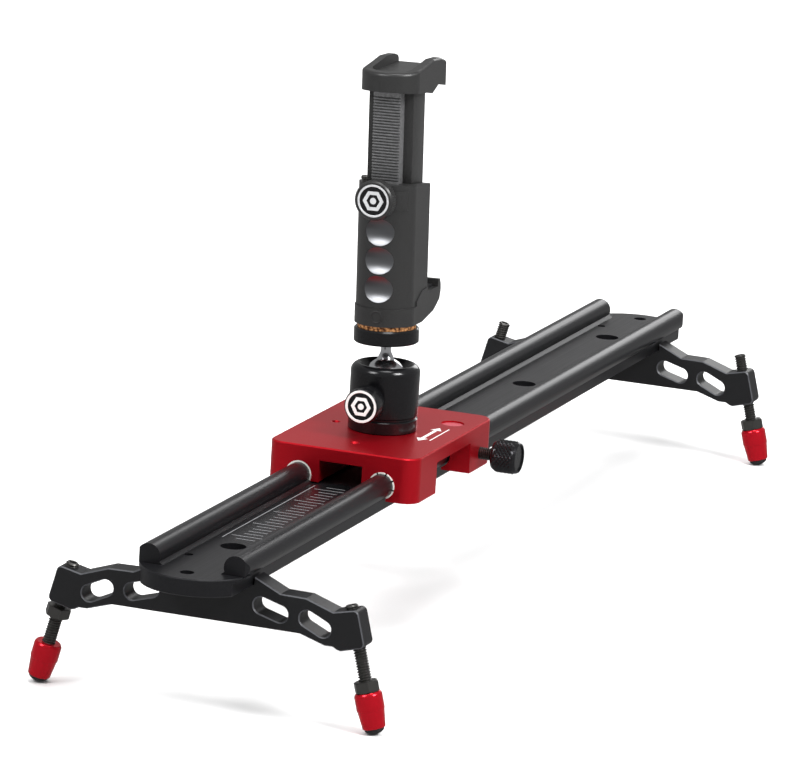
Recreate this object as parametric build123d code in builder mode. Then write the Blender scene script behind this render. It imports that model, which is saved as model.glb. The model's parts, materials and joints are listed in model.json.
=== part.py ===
from build123d import *
from math import atan2, cos, degrees, radians, sin
import os

os.makedirs("parts", exist_ok=True)

# A camera slider: a track on four screw feet, a carriage with a brake, a ball head and a phone holder.
# Frame: +X along the track, +Y across it, +Z up. Origin under the middle of the track, level with the
# tips of the two feet at the -X end. The feet at the +X end are screwed in by FAR_LIFT.

# --- driving dimensions, mm ---
TRACK_LENGTH = 636.0        # over the rounded ends
END_RADIUS = 27.0
RAIL_LENGTH = 604.0
RAIL_Y, RAIL_Z, RAIL_R = 20.3, 70.7, 5.5
SLAB_HALF, SLAB_BOTTOM, FLOOR_Z = 21.2, 59.4, 67.3
BIG_HOLE_PITCH, BIG_HOLE_R = 127.0, 5.8
END_HOLE_X, END_HOLE_R = 307.0, 3.175
EDGE_CHAMFER, EDGE_SWEEP = 0.5, radians(65)            # round the end plates' rims

LEG_FACE_X, LEG_THICKNESS, LEG_BASE = 283.5, 11.0, 41.2
BRACKET_HOLE_Y, BRACKET_HOLE_R = 11.2, 2.05
FOOT_X, FOOT_Y, FOOT_TILT = 278.0, 78.3, 14.5
TIP_R = 6.0                 # ball radius of the rubber tip
FAR_LIFT = 6.4              # along the rod
ROD_R, ROD_HOLE_R = 2.95, 3.0

CARRIAGE_X, CARRIAGE_LENGTH, CARRIAGE_WIDTH = -73.0, 104.5, 73.0
CARRIAGE_TOP, SKIRT_BOTTOM, LEG_BOTTOM = 84.6, 63.6, 68.1
CHANNEL_HALF, CHANNEL_TOP = 10.5, 78.3
LINER_R, LINER_BORE = 6.3, 5.55
NOTCH_X, NOTCH_LENGTH, NOTCH_TOP = -74.5, 45.0, 78.1
BRAKE_X = -38.0
RECESS = (-45.0, -24.6)     # round recess in the top face
RECESS_R, RECESS_DEPTH = 5.4, 2.6

BALL_Z, BALL_R = 108.0, 10.1
HEAD_SPLIT = 91.6           # where the base meets the housing
HOUSING_R, HOUSING_TOP = 16.1, 115.6
DROP_NOTCH_ANGLE, DROP_NOTCH_WIDTH = 12.0, 11.6
LOCK_Z = 100.6
HOLDER_LEAN = 1.8           # the ball is set over by this much, towards +Y

PLATE_LOW, PLATE_HIGH, PLATE_R = 17.9, 24.9, 15.1      # heights above the ball's centre from here on
CORK_TOP, CORK_R = 26.8, 13.5
BODY_LOW, COLLAR_TOP, BODY_TOP = 26.9, 35.9, 93.0
SHOULDER_R = 5.0
BODY_HALF, BODY_FRONT, BODY_BACK, BODY_SHOULDER = 14.0, -13.75, 14.7, -4.3
PROUD, BAND_LOW, BAND_TOP, BAND_HALF, BODY_TOP_BACK = 0.5, 81.4, 90.8, 11.8, 90.8
PEG = (-9.0, 9.3)           # small steel peg on top of the body, left of the clamp knob
DIMPLE_HEIGHTS = (44.5, 57.8, 71.1)
CLAMP_HEIGHT = 87.1
COLUMN_HALF, COLUMN_FRONT, COLUMN_BACK, COLUMN_FOOT = 11.0, -2.3, 12.9, 80.0
RIB_HALF, RIB_FRONT = 6.55, -8.3
JAW_LOW, JAW_RIM_R, JAW_REACH, JAW_POCKET = 130.0, 1.6, 31.4, 143.4
PAD_HALF = 12.0
DIMPLE_FLOOR, DIMPLE_V, DIMPLE_H = 10.3, 7.0, 6.3
INSERT_DEPTH, INSERT_R = 8.0, 5.0
COLUMN_TOP = 137.0

# --- planes that pieces are built on ---
HEAD = Plane(origin=(CARRIAGE_X, 0, 0))
LEAN = radians(HOLDER_LEAN)
HOLDER = Plane(origin=(CARRIAGE_X, 0, BALL_Z), x_dir=(1, 0, 0), z_dir=(0, sin(LEAN), cos(LEAN)))
BRAKE = Plane(origin=(BRAKE_X, 0, RAIL_Z), x_dir=(1, 0, 0), z_dir=(0, -1, 0))
LOCK = Plane(origin=(CARRIAGE_X, 0, LOCK_Z), x_dir=(0, 1, 0), z_dir=(-1, 0, 0))
CLAMP = Plane(origin=HOLDER.offset(CLAMP_HEIGHT).origin, x_dir=HOLDER.y_dir, z_dir=(-1, 0, 0))


def keep(piece, name):
    """Label a finished piece and write its file."""
    piece.part.label = name
    export_step(piece.part, f"parts/{name}.step")


def side_of(plane):
    """The plane through another's x and z directions: x stays, and its y is the other's normal."""
    return Plane(origin=plane.origin, x_dir=plane.x_dir, z_dir=-plane.y_dir)


def turned(plane, *outline):
    """A piece turned about a plane's normal, from (radius, height) points."""
    with BuildPart() as piece:
        with BuildSketch(side_of(plane)):
            with BuildLine():
                Polyline(*outline, close=True)
            make_face()
        revolve(axis=Axis(plane.origin, plane.z_dir))
    return piece


def tube(plane, outer, inner, low, high):
    """A plain ring between two heights; inner 0 makes it solid."""
    return turned(plane, (inner, low), (outer, low), (outer, high), (inner, high))


# --- track: one extrusion, rounded at both ends, with the rails cut back from the end plates ---
LEDGE = ((RAIL_Y - 6.7, FLOOR_Z), (RAIL_Y - 5.1, FLOOR_Z + 1.3))
with BuildPart() as track:
    with BuildSketch(Plane.YZ):
        with BuildLine():
            Polyline((0, SLAB_BOTTOM), (SLAB_HALF, SLAB_BOTTOM), (SLAB_HALF, RAIL_Z - 5.2),
                     (RAIL_Y, RAIL_Z), LEDGE[1], LEDGE[0], (0, FLOOR_Z), close=True)
        make_face()
        with Locations((RAIL_Y, RAIL_Z)):
            Circle(RAIL_R)
        mirror(about=Plane.YZ)
    extrude(amount=TRACK_LENGTH / 2, both=True)
    with BuildSketch(Plane.XY):
        SlotOverall(TRACK_LENGTH, 2 * END_RADIUS)
    extrude(amount=CARRIAGE_TOP, mode=Mode.INTERSECT)
    end_overhang = (TRACK_LENGTH - RAIL_LENGTH) / 2
    with BuildSketch(Plane.XY.offset(FLOOR_Z)):
        with GridLocations(RAIL_LENGTH + end_overhang, 0, 2, 1):
            Rectangle(end_overhang, 4 * END_RADIUS)
    extrude(amount=2 * RAIL_R + 2, mode=Mode.SUBTRACT)
    with Locations(Plane.XY.offset(FLOOR_Z)):
        with GridLocations(BIG_HOLE_PITCH, 0, 5, 1):
            Hole(BIG_HOLE_R)
        with GridLocations(2 * END_HOLE_X, 0, 2, 1):
            Hole(END_HOLE_R)
        with Locations(*((side * FOOT_X, BRACKET_HOLE_Y) for side in (-1, 1))):
            Hole(BRACKET_HOLE_R)
    with BuildSketch(Plane.XY.offset(SLAB_BOTTOM)):
        with Locations(*((side * FOOT_X, -BRACKET_HOLE_Y) for side in (-1, 1))):
            Circle(BRACKET_HOLE_R)
    extrude(amount=5.5, mode=Mode.SUBTRACT)
    for end in (-1, 1):
        centre = Vector(end * (TRACK_LENGTH / 2 - END_RADIUS), 0, 0)
        radial = Vector(end * cos(EDGE_SWEEP), -end * sin(EDGE_SWEEP), 0)
        with BuildSketch(Plane(origin=centre, x_dir=radial, z_dir=radial.cross(Vector(0, 0, 1)))):
            for face, inward in ((FLOOR_Z, -EDGE_CHAMFER), (SLAB_BOTTOM, EDGE_CHAMFER)):
                with BuildLine():
                    Polyline((END_RADIUS - EDGE_CHAMFER, face), (END_RADIUS + 1, face - inward),
                             (END_RADIUS + 1, face + inward), (END_RADIUS, face + inward), close=True)
                make_face()
        revolve(axis=Axis(centre, (0, 0, 1)), revolution_arc=2 * degrees(EDGE_SWEEP), mode=Mode.SUBTRACT)
keep(track, "track")

# --- leg brackets: one machined bar across the track's underside at each end ---
ARM_TOP = ((22.2, SLAB_BOTTOM), (22.2, 63.2), (34.6, 57.4), (46.3, 57.2), (59.2, 52.8), (70.3, 55.3))
ARM_UNDER = ((74.6, 38.9), (63.2, 35.9), (61.4, 36.4), (59.6, 37.4), (55.7, 37.4), (43.6, LEG_BASE), (0, LEG_BASE))
SLOTS = (((25.9, 50.9), (34.6, 48.4), 7.6), ((47.4, 48.1), (54.8, 44.6), 7.4))    # ends and width
FEET = {}
for end_name, end in (("near", -1), ("far", 1)):
    lift = FAR_LIFT if end > 0 else 0.0
    for side_name, side in (("left", 1), ("right", -1)):
        tilt = radians(FOOT_TILT)
        axis = Vector(0, -side * sin(tilt), cos(tilt))
        FEET[f"{end_name}_{side_name}"] = Plane(
            origin=Vector(end * FOOT_X, side * FOOT_Y, TIP_R) + axis * lift, x_dir=(1, 0, 0), z_dir=axis)

for end_name, end in (("near", -1), ("far", 1)):
    face_x = end * (LEG_FACE_X - LEG_THICKNESS / 2)
    with BuildPart() as bracket:
        with BuildSketch(Plane.YZ.offset(face_x)):
            with BuildLine():
                Polyline((0, SLAB_BOTTOM), *ARM_TOP, *ARM_UNDER, close=True)
            make_face()
            for start, stop, width in SLOTS:
                run = Vector(*stop) - Vector(*start)
                with Locations((Vector(*start) + Vector(*stop)) * 0.5):
                    SlotCenterToCenter(run.length, width, rotation=degrees(atan2(run.Y, run.X)),
                                       mode=Mode.SUBTRACT)
            mirror(about=Plane.YZ)
        extrude(amount=LEG_THICKNESS / 2, both=True)
        corners = bracket.edges().filter_by(Axis.X).filter_by(lambda e: abs(e.center().Y) > 69)
        fillet(corners, 2.4)
        chamfer(bracket.faces().filter_by(Axis.X).edges().filter_by(lambda e: abs(e.center().Y) > 24)
                .filter_by(GeomType.LINE), 0.5)
        for side_name in ("left", "right"):
            with BuildSketch(FEET[f"{end_name}_{side_name}"]):
                Circle(ROD_HOLE_R)
            extrude(amount=70, mode=Mode.SUBTRACT)
        with BuildSketch(Plane.XY.offset(LEG_BASE)):
            with Locations((end * FOOT_X, BRACKET_HOLE_Y), (end * FOOT_X, -BRACKET_HOLE_Y)):
                Circle(BRACKET_HOLE_R)
        extrude(amount=20, mode=Mode.SUBTRACT)
        with BuildSketch(Plane.XY.offset(LEG_BASE)):
            with Locations((end * FOOT_X, BRACKET_HOLE_Y), (end * FOOT_X, -BRACKET_HOLE_Y)):
                Circle(3.9)
        extrude(amount=11, mode=Mode.SUBTRACT)
    keep(bracket, f"{end_name}_leg_bracket")

with BuildPart() as bracket_screws:
    with BuildSketch(Plane.XY.offset(48.2)):
        with GridLocations(2 * FOOT_X, 2 * BRACKET_HOLE_Y, 2, 2):
            Circle(3.5)
            RegularPolygon(1.75, 6, mode=Mode.SUBTRACT)
    extrude(amount=2.2)
    with BuildSketch(Plane.XY.offset(50.4)):
        with GridLocations(2 * FOOT_X, 2 * BRACKET_HOLE_Y, 2, 2):
            Circle(3.5)
    extrude(amount=1.8)
    with BuildSketch(Plane.XY.offset(52.2)):
        with GridLocations(2 * FOOT_X, 2 * BRACKET_HOLE_Y, 2, 2):
            Circle(2.0)
    extrude(amount=12.2)
keep(bracket_screws, "bracket_screws")

# --- screw feet: rubber tip, anodised cap, threaded rod and lock nut on a tilted axis ---
CAP_LOW_S, CAP_HIGH_S, NUT_HEIGHT, NUT_FLATS = -3.2, 12.8, 5.0, 10.0
NEAR_LEFT_NUT_S = 25.6      # this nut was left loose, below the arm
ROD_TOP_S = 51.6
TIP_NECK_R = 4.3
for foot_name, foot in FEET.items():
    rim = -(TIP_R ** 2 - TIP_NECK_R ** 2) ** 0.5
    with BuildPart() as tip:
        with BuildSketch(side_of(foot)):
            with BuildLine():
                RadiusArc((0, -TIP_R), (TIP_NECK_R, rim), -TIP_R)
                Polyline((TIP_NECK_R, rim), (TIP_NECK_R, 0), (0, 0), (0, -TIP_R))
            make_face()
        revolve(axis=Axis(foot.origin, foot.z_dir))
    keep(tip, f"{foot_name}_foot_tip")

    cap = turned(foot, (TIP_NECK_R + 0.1, CAP_LOW_S), (5.0, CAP_LOW_S), (6.0, 4.8), (6.2, 5.0), (6.2, 11.6),
                 (5.5, CAP_HIGH_S), (ROD_R, CAP_HIGH_S), (ROD_R, 3.5), (0, 3.5), (0, 0.1),
                 (TIP_NECK_R + 0.1, 0.1))
    keep(cap, f"{foot_name}_foot_cap")

    rod = turned(foot, (0, 3.6), (ROD_R, 3.6), (ROD_R, ROD_TOP_S - 0.5), (ROD_R - 0.5, ROD_TOP_S),
                 (1.5, ROD_TOP_S), (1.5, ROD_TOP_S - 3), (0, ROD_TOP_S - 3))
    keep(rod, f"{foot_name}_foot_rod")

    nut_low = NEAR_LEFT_NUT_S if foot_name == "near_left" else CAP_HIGH_S
    with BuildPart() as nut:
        with BuildSketch(foot.offset(nut_low)):
            RegularPolygon(NUT_FLATS / 2, 6, major_radius=False)
            Circle(ROD_HOLE_R, mode=Mode.SUBTRACT)
        extrude(amount=NUT_HEIGHT)
        with BuildSketch(foot.offset(nut_low)):
            Circle(5.5)
        extrude(amount=NUT_HEIGHT, mode=Mode.INTERSECT)
    keep(nut, f"{foot_name}_lock_nut")

# --- carriage: a milled block that wraps both rails, with four split polymer liners ---
with BuildPart() as carriage:
    with BuildSketch(Plane.YZ.offset(CARRIAGE_X)):
        with Locations((0, (CARRIAGE_TOP + SKIRT_BOTTOM) / 2)):
            Rectangle(CARRIAGE_WIDTH, CARRIAGE_TOP - SKIRT_BOTTOM)
        with Locations((0, SKIRT_BOTTOM)):
            Rectangle(2 * 22.6, 2 * (LEG_BOTTOM - SKIRT_BOTTOM), mode=Mode.SUBTRACT)
            Rectangle(2 * CHANNEL_HALF, 2 * (CHANNEL_TOP - SKIRT_BOTTOM), mode=Mode.SUBTRACT)
        with Locations((RAIL_Y, RAIL_Z), (-RAIL_Y, RAIL_Z)):
            Circle(LINER_R, mode=Mode.SUBTRACT)
    extrude(amount=CARRIAGE_LENGTH / 2, both=True)
    outer = carriage.edges().filter_by(Axis.Z).filter_by(lambda e: abs(e.center().Y) > 36)
    fillet(outer, 7.3)
    with BuildSketch(Plane.XY.offset(SKIRT_BOTTOM)):
        with Locations((NOTCH_X, CARRIAGE_WIDTH / 2 + 14.2), (NOTCH_X, -CARRIAGE_WIDTH / 2 - 14.2)):
            Rectangle(NOTCH_LENGTH, CARRIAGE_WIDTH)
    extrude(amount=NOTCH_TOP - SKIRT_BOTTOM, mode=Mode.SUBTRACT)
    chamfer(carriage.faces().sort_by(Axis.Z)[-1].edges(), 0.6)
    with BuildSketch(Plane.XY.offset(CARRIAGE_TOP - RECESS_DEPTH)):
        with Locations(RECESS):
            Circle(RECESS_R)
    extrude(amount=RECESS_DEPTH, mode=Mode.SUBTRACT)
    with Locations(Plane.XY.offset(CARRIAGE_TOP)):
        with Locations((CARRIAGE_X - 35, 0), (CARRIAGE_X + 35, 0), (CARRIAGE_X, 23)):
            CounterSinkHole(1.3, 2.2, depth=5.5)
        with Locations((CARRIAGE_X, 0)):
            Hole(4.8)
    with BuildSketch(BRAKE.offset(RAIL_Y + LINER_R - 0.5)):
        Circle(ROD_HOLE_R)
    extrude(amount=CARRIAGE_WIDTH / 2, mode=Mode.SUBTRACT)
keep(carriage, "carriage")

LINER_LENGTH = 24.0
for end_name, end in (("front", -1), ("rear", 1)):
    for side_name, side in (("left", 1), ("right", -1)):
        start = CARRIAGE_X + end * CARRIAGE_LENGTH / 2
        with BuildPart() as liner:
            with BuildSketch(Plane.YZ.offset(start)):
                with Locations((side * RAIL_Y, RAIL_Z)):
                    Circle(LINER_R)
                    Circle(LINER_BORE, mode=Mode.SUBTRACT)
                with BuildLine():
                    Polyline((side * RAIL_Y, RAIL_Z), (side * (RAIL_Y - 9), RAIL_Z - 1.6),
                             (side * (RAIL_Y - 9), RAIL_Z - 9), (side * (RAIL_Y + 4.2), RAIL_Z - 9),
                             close=True)
                make_face(mode=Mode.SUBTRACT)
            extrude(amount=-end * LINER_LENGTH)
            if (end, side) == (1, -1):
                with BuildSketch(BRAKE.offset(RAIL_Y)):
                    Circle(2.6)
                extrude(amount=10, mode=Mode.SUBTRACT)
        keep(liner, f"{end_name}_{side_name}_liner")

recess_floor = Plane(origin=(RECESS[0], RECESS[1], CARRIAGE_TOP - RECESS_DEPTH))
top_insert = tube(recess_floor, RECESS_R, 0, 0, 1.8)
keep(top_insert, "top_insert")

# --- brake: a knurled knob on a screw that pushes a pad through one liner against the rail ---
RAIL_SIDE = RAIL_Y + RAIL_R
brake_pad = tube(BRAKE, 2.5, 0, RAIL_SIDE + 0.2, RAIL_SIDE + 4.2)
keep(brake_pad, "brake_pad")
brake_screw = turned(BRAKE, (0, RAIL_SIDE + 4.25), (2.4, RAIL_SIDE + 4.25), (ROD_R, RAIL_SIDE + 4.8),
                     (ROD_R, 50.0), (0, 50.0))
keep(brake_screw, "brake_screw")
KNOB_LOW, KNOB_HIGH, KNOB_R = 43.4, 56.0, 7.9
brake_knob = turned(BRAKE, (ROD_R, KNOB_LOW), (6.4, KNOB_LOW), (KNOB_R, KNOB_LOW + 1.6),
                    (KNOB_R, KNOB_HIGH - 1.2), (7.0, KNOB_HIGH), (6.3, KNOB_HIGH), (6.3, KNOB_HIGH - 0.6),
                    (0, KNOB_HIGH - 0.6), (0, 50.05), (ROD_R, 50.05))
keep(brake_knob, "brake_knob")

# --- ball head: base, housing with a drop notch, seat, ball and lock ---
head_base = turned(HEAD, (4.8, CARRIAGE_TOP), (15.6, CARRIAGE_TOP), (HOUSING_R, CARRIAGE_TOP + 0.5),
                   (HOUSING_R, 90.2), (15.3, 90.9), (15.3, HEAD_SPLIT), (4.8, HEAD_SPLIT))
keep(head_base, "head_base")
head_screw = turned(HEAD, (0, 75.2), (7.0, 75.2), (7.0, 77.0), (7.0, CHANNEL_TOP), (4.75, CHANNEL_TOP),
                    (4.75, 91.5), (0, 91.5))
keep(head_screw, "head_screw")

with BuildPart() as head_housing:
    with BuildSketch(side_of(HEAD)):
        with BuildLine():
            Polyline((0, HEAD_SPLIT), (15.5, HEAD_SPLIT), (HOUSING_R, 92.2), (HOUSING_R, HOUSING_TOP - 3.4))
            RadiusArc((HOUSING_R, HOUSING_TOP - 3.4), (13.2, HOUSING_TOP), -3.9)
            Polyline((13.2, HOUSING_TOP), (12.4, HOUSING_TOP), (9.95, 112.2), (9.95, 111.3),
                     (10.6, 110.2), (10.6, 93.6), (0, 93.6), (0, HEAD_SPLIT))
        make_face()
    revolve(axis=Axis.Z.located(Location((CARRIAGE_X, 0, 0))))
    drop_direction = Vector(cos(radians(DROP_NOTCH_ANGLE)), sin(radians(DROP_NOTCH_ANGLE)), 0)
    drop_plane = Plane(origin=(CARRIAGE_X, 0, BALL_Z - 2), z_dir=drop_direction,
                       x_dir=drop_direction.cross(Vector(0, 0, 1)))
    with BuildSketch(drop_plane.offset(3)):
        SlotCenterToCenter(40, DROP_NOTCH_WIDTH, rotation=90)
        with Locations((0, -20)):
            Rectangle(60, 40, mode=Mode.SUBTRACT)
    extrude(amount=20, mode=Mode.SUBTRACT)
    with BuildSketch(LOCK.offset(8)):
        Circle(2.55)
    extrude(amount=12, mode=Mode.SUBTRACT)
keep(head_housing, "head_housing")

with BuildPart() as ball_seat:
    with BuildSketch(HEAD.offset(93.7)):
        Circle(10.5)
    extrude(amount=11.0)
    with Locations((CARRIAGE_X, 0, BALL_Z)):
        Sphere(BALL_R + 0.1, mode=Mode.SUBTRACT)
    with BuildSketch(LOCK.offset(8.0)):
        Circle(2.6)
    extrude(amount=5, mode=Mode.SUBTRACT)
keep(ball_seat, "ball_seat")

lock_plug = tube(LOCK, 2.4, 0, 9.15, 12.6)
keep(lock_plug, "lock_plug")
lock_screw = tube(LOCK, 2.5, 0, 12.65, 26.0)
keep(lock_screw, "lock_screw")
LOCK_FACE = 30.4
lock_knob = turned(LOCK, (2.5, 17.2), (5.6, 17.2), (5.6, 20.0), (7.6, 20.4), (8.4, 21.4), (8.4, LOCK_FACE - 0.8),
                   (7.8, LOCK_FACE), (7.65, LOCK_FACE), (7.65, LOCK_FACE - 1.0), (0, LOCK_FACE - 1.0),
                   (0, 26.05), (2.5, 26.05))
keep(lock_knob, "lock_knob")
lock_knob_face = tube(LOCK, 6.4, 0, LOCK_FACE - 1.0, LOCK_FACE - 0.1)
keep(lock_knob_face, "lock_knob_face")
lock_knob_ring = tube(LOCK, 7.65, 6.4, LOCK_FACE - 1.0, LOCK_FACE)
keep(lock_knob_ring, "lock_knob_ring")

with BuildPart() as ball:
    with Locations((CARRIAGE_X, 0, BALL_Z)):
        Sphere(BALL_R)
keep(ball, "ball")

with BuildPart() as ball_stem:
    with BuildSketch(side_of(HOLDER)):
        with BuildLine():
            Spline((3.9, 8.0), (3.3, 10.6), (2.3, 13.2), (2.9, PLATE_LOW))
            Polyline((2.9, PLATE_LOW), (2.9, 21.4), (0, 21.4), (0, 8.0), (3.9, 8.0))
        make_face()
    revolve(axis=Axis(HOLDER.origin, HOLDER.z_dir))
    with Locations((CARRIAGE_X, 0, BALL_Z)):
        Sphere(BALL_R + 0.05, mode=Mode.SUBTRACT)
keep(ball_stem, "ball_stem")

top_plate = turned(HOLDER, (2.9, PLATE_LOW), (14.6, PLATE_LOW), (PLATE_R, PLATE_LOW + 0.5),
                   (PLATE_R, PLATE_HIGH - 0.7), (14.4, PLATE_HIGH), (3.1, PLATE_HIGH), (3.1, 21.5), (2.9, 21.5))
keep(top_plate, "top_plate")
cork_pad = tube(HOLDER, CORK_R, 3.2, PLATE_HIGH, CORK_TOP)
keep(cork_pad, "cork_pad")
top_stud = turned(HOLDER, (0, 21.5), (3.1, 21.5), (3.1, 32.6), (2.5, 33.2), (0, 33.2))
keep(top_stud, "top_stud")


def holder_outline(half, front, back, shoulder):
    """Plan outline of the holder: straight sides, soft shoulders and a rounded front."""
    with BuildSketch() as outline:
        with BuildLine():
            Polyline((shoulder, half), (back, half), (back, -half), (shoulder, -half))
            ThreePointArc((shoulder, -half), (front, 0), (shoulder, half))
        make_face()
        fillet(outline.vertices().filter_by(lambda v: abs(v.X - shoulder) < 0.1), SHOULDER_R)
    return outline.sketch


# --- phone holder: body with the lower jaw ---
with BuildPart() as holder_body:
    with BuildSketch(HOLDER.offset(BODY_LOW)):
        add(holder_outline(BODY_HALF, BODY_FRONT, BODY_BACK, BODY_SHOULDER))
    extrude(amount=BODY_TOP - BODY_LOW)
    for low, high in ((BODY_LOW, COLLAR_TOP), (BAND_LOW, BAND_TOP)):
        with BuildSketch(HOLDER.offset(low)):
            add(holder_outline(BODY_HALF + PROUD, BODY_FRONT - PROUD, BODY_BACK, BODY_SHOULDER))
            if low == BAND_LOW:
                Rectangle(2 * BODY_BACK + 4, 2 * BAND_HALF, mode=Mode.INTERSECT)
        extrude(amount=high - low - PROUD)
        with BuildSketch(HOLDER.offset(high - PROUD)):
            add(holder_outline(BODY_HALF + PROUD, BODY_FRONT - PROUD, BODY_BACK, BODY_SHOULDER))
            if low == BAND_LOW:
                Rectangle(2 * BODY_BACK + 4, 2 * BAND_HALF, mode=Mode.INTERSECT)
        extrude(amount=PROUD, taper=45)
    with BuildSketch(side_of(HOLDER)):
        with BuildLine():
            Polyline((0.0, BODY_LOW), (8.0, BODY_LOW), (22.6, 29.7), (26.4, 31.7), (30.4, 34.0), (31.8, 38.0),
                     (31.6, 41.0), (30.4, 43.4), (28.2, 43.4), (27.6, 40.0), (BODY_BACK, 40.0),
                     (BODY_BACK, 42.2), (7.0, 41.6), (0.0, 37.4), close=True)
        make_face()
    extrude(amount=BODY_HALF + PROUD, both=True)
    with BuildSketch(side_of(HOLDER)):
        with BuildLine():
            Polyline((8.0, BODY_LOW), (22.6, 29.7), (22.6, BODY_LOW), close=True)
        make_face()
        with BuildLine():
            Polyline((BODY_SHOULDER, BODY_TOP), (BODY_BACK, BODY_TOP_BACK), (BODY_BACK + 1, BODY_TOP_BACK),
                     (BODY_BACK + 1, BODY_TOP + 1), (BODY_SHOULDER, BODY_TOP + 1), close=True)
        make_face()
    extrude(amount=BODY_HALF + 1, both=True, mode=Mode.SUBTRACT)
    with BuildSketch(HOLDER.offset(38)):
        with Locations(((COLUMN_FRONT + COLUMN_BACK) / 2, 0)):
            Rectangle(COLUMN_BACK - COLUMN_FRONT + 0.6, 2 * COLUMN_HALF + 0.6)
        with Locations(((RIB_FRONT - 0.3 + COLUMN_FRONT) / 2, 0)):
            Rectangle(COLUMN_FRONT - RIB_FRONT + 0.3, 2 * RIB_HALF + 0.6)
    extrude(amount=BODY_TOP, mode=Mode.SUBTRACT)
    with BuildSketch(CLAMP.offset(5)):
        Circle(2.5)
    extrude(amount=15, mode=Mode.SUBTRACT)
    for height in DIMPLE_HEIGHTS:
        with BuildSketch(Plane(origin=HOLDER.offset(height).origin, x_dir=HOLDER.y_dir, z_dir=(-1, 0, 0))
                         .offset(DIMPLE_FLOOR)):
            Ellipse(DIMPLE_V, DIMPLE_H)
        extrude(amount=8, mode=Mode.SUBTRACT)
    with BuildSketch(HOLDER.offset(BODY_LOW)):
        Circle(INSERT_R)
    extrude(amount=INSERT_DEPTH, mode=Mode.SUBTRACT)
keep(holder_body, "holder_body")

with BuildPart() as finger_dimples:
    for height in DIMPLE_HEIGHTS:
        dimple_plane = Plane(origin=HOLDER.offset(height).origin, x_dir=HOLDER.y_dir, z_dir=(-1, 0, 0))
        with BuildSketch(dimple_plane.offset(DIMPLE_FLOOR)):
            Ellipse(DIMPLE_V, DIMPLE_H)
        extrude(amount=1.2)
keep(finger_dimples, "finger_dimples")

thread_insert = tube(HOLDER, INSERT_R, END_HOLE_R, BODY_LOW, BODY_LOW + INSERT_DEPTH)
keep(thread_insert, "thread_insert")

with BuildPart() as lower_jaw_pad:
    with BuildSketch(HOLDER.offset(40.0)):
        with Locations((21.2, 0)):
            Rectangle(12.4, 2 * PAD_HALF)
    extrude(amount=1.2)
keep(lower_jaw_pad, "lower_jaw_pad")

# --- clamp slider: ribbed column with the upper jaw ---
with BuildPart() as clamp_column:
    with BuildSketch(HOLDER.offset(COLUMN_FOOT)):
        with Locations(((COLUMN_FRONT + COLUMN_BACK) / 2, 0)):
            Rectangle(COLUMN_BACK - COLUMN_FRONT, 2 * COLUMN_HALF)
        with Locations(((RIB_FRONT + COLUMN_FRONT) / 2, 0)):
            Rectangle(COLUMN_FRONT - RIB_FRONT, 2 * RIB_HALF)
    extrude(amount=COLUMN_TOP - COLUMN_FOOT)
keep(clamp_column, "clamp_column")

JAW_PAD = ((22.7, 135.59), (30.4, 134.2), (30.4, 135.2), (22.7, 136.59))
with BuildPart() as upper_jaw:
    with BuildSketch(HOLDER.offset(JAW_LOW)):
        add(holder_outline(BODY_HALF, BODY_FRONT, JAW_REACH, BODY_SHOULDER))
    extrude(amount=20)
    with BuildSketch(side_of(HOLDER)):
        with BuildLine():
            Polyline((-15.0, 144.8), (-6.0, 145.2), (7.0, 146.8), (16.0, 148.1), (26.0, 147.6), (30.2, 146.4),
                     (JAW_REACH, 145.0), (JAW_REACH, 134.0), (21.7, 135.77), (14.6, 132.9), (12.7, 132.9),
                     (6.0, 134.1), (-2.8, 134.9), (-15.0, 136.1), close=True)
        make_face()
    extrude(amount=BODY_HALF + 1, both=True, mode=Mode.INTERSECT)
    rim = (upper_jaw.edges().filter_by(lambda e: (e.center() - HOLDER.origin).dot(HOLDER.z_dir) > 144.6)
           .filter_by(lambda e: e.center().X < CARRIAGE_X + 29)
           .filter_by(lambda e: abs((e.center() - HOLDER.origin).dot(HOLDER.y_dir)) > 9.9
                      or e.center().X < CARRIAGE_X - 9))
    fillet(rim, JAW_RIM_R)
    with BuildSketch(HOLDER.offset(JAW_POCKET)):
        add(holder_outline(9.4, BODY_FRONT + 4.6, 40, BODY_SHOULDER))
    extrude(amount=20, mode=Mode.SUBTRACT)
    with BuildSketch(HOLDER.offset(JAW_LOW)):
        with Locations(((COLUMN_FRONT + COLUMN_BACK) / 2, 0)):
            Rectangle(COLUMN_BACK - COLUMN_FRONT, 2 * COLUMN_HALF)
        with Locations(((RIB_FRONT + COLUMN_FRONT) / 2, 0)):
            Rectangle(COLUMN_FRONT - RIB_FRONT, 2 * RIB_HALF)
    extrude(amount=COLUMN_TOP - JAW_LOW, mode=Mode.SUBTRACT)
    with BuildSketch(side_of(HOLDER)):
        with BuildLine():
            Polyline(*JAW_PAD, close=True)
        make_face()
    extrude(amount=PAD_HALF, both=True, mode=Mode.SUBTRACT)
keep(upper_jaw, "upper_jaw")

with BuildPart() as upper_jaw_pad:
    with BuildSketch(side_of(HOLDER)):
        with BuildLine():
            Polyline(*JAW_PAD, close=True)
        make_face()
    extrude(amount=PAD_HALF, both=True)
keep(upper_jaw_pad, "upper_jaw_pad")

peg_foot = Plane(origin=HOLDER.from_local_coords(Vector(*PEG, BODY_TOP)), x_dir=HOLDER.x_dir, z_dir=HOLDER.z_dir)
guide_peg = turned(peg_foot, (0, 0), (1.3, 0), (1.3, 1.2), (1.8, 1.6), (1.8, 2.7), (1.5, 3.1), (0, 3.1))
keep(guide_peg, "guide_peg")

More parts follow.
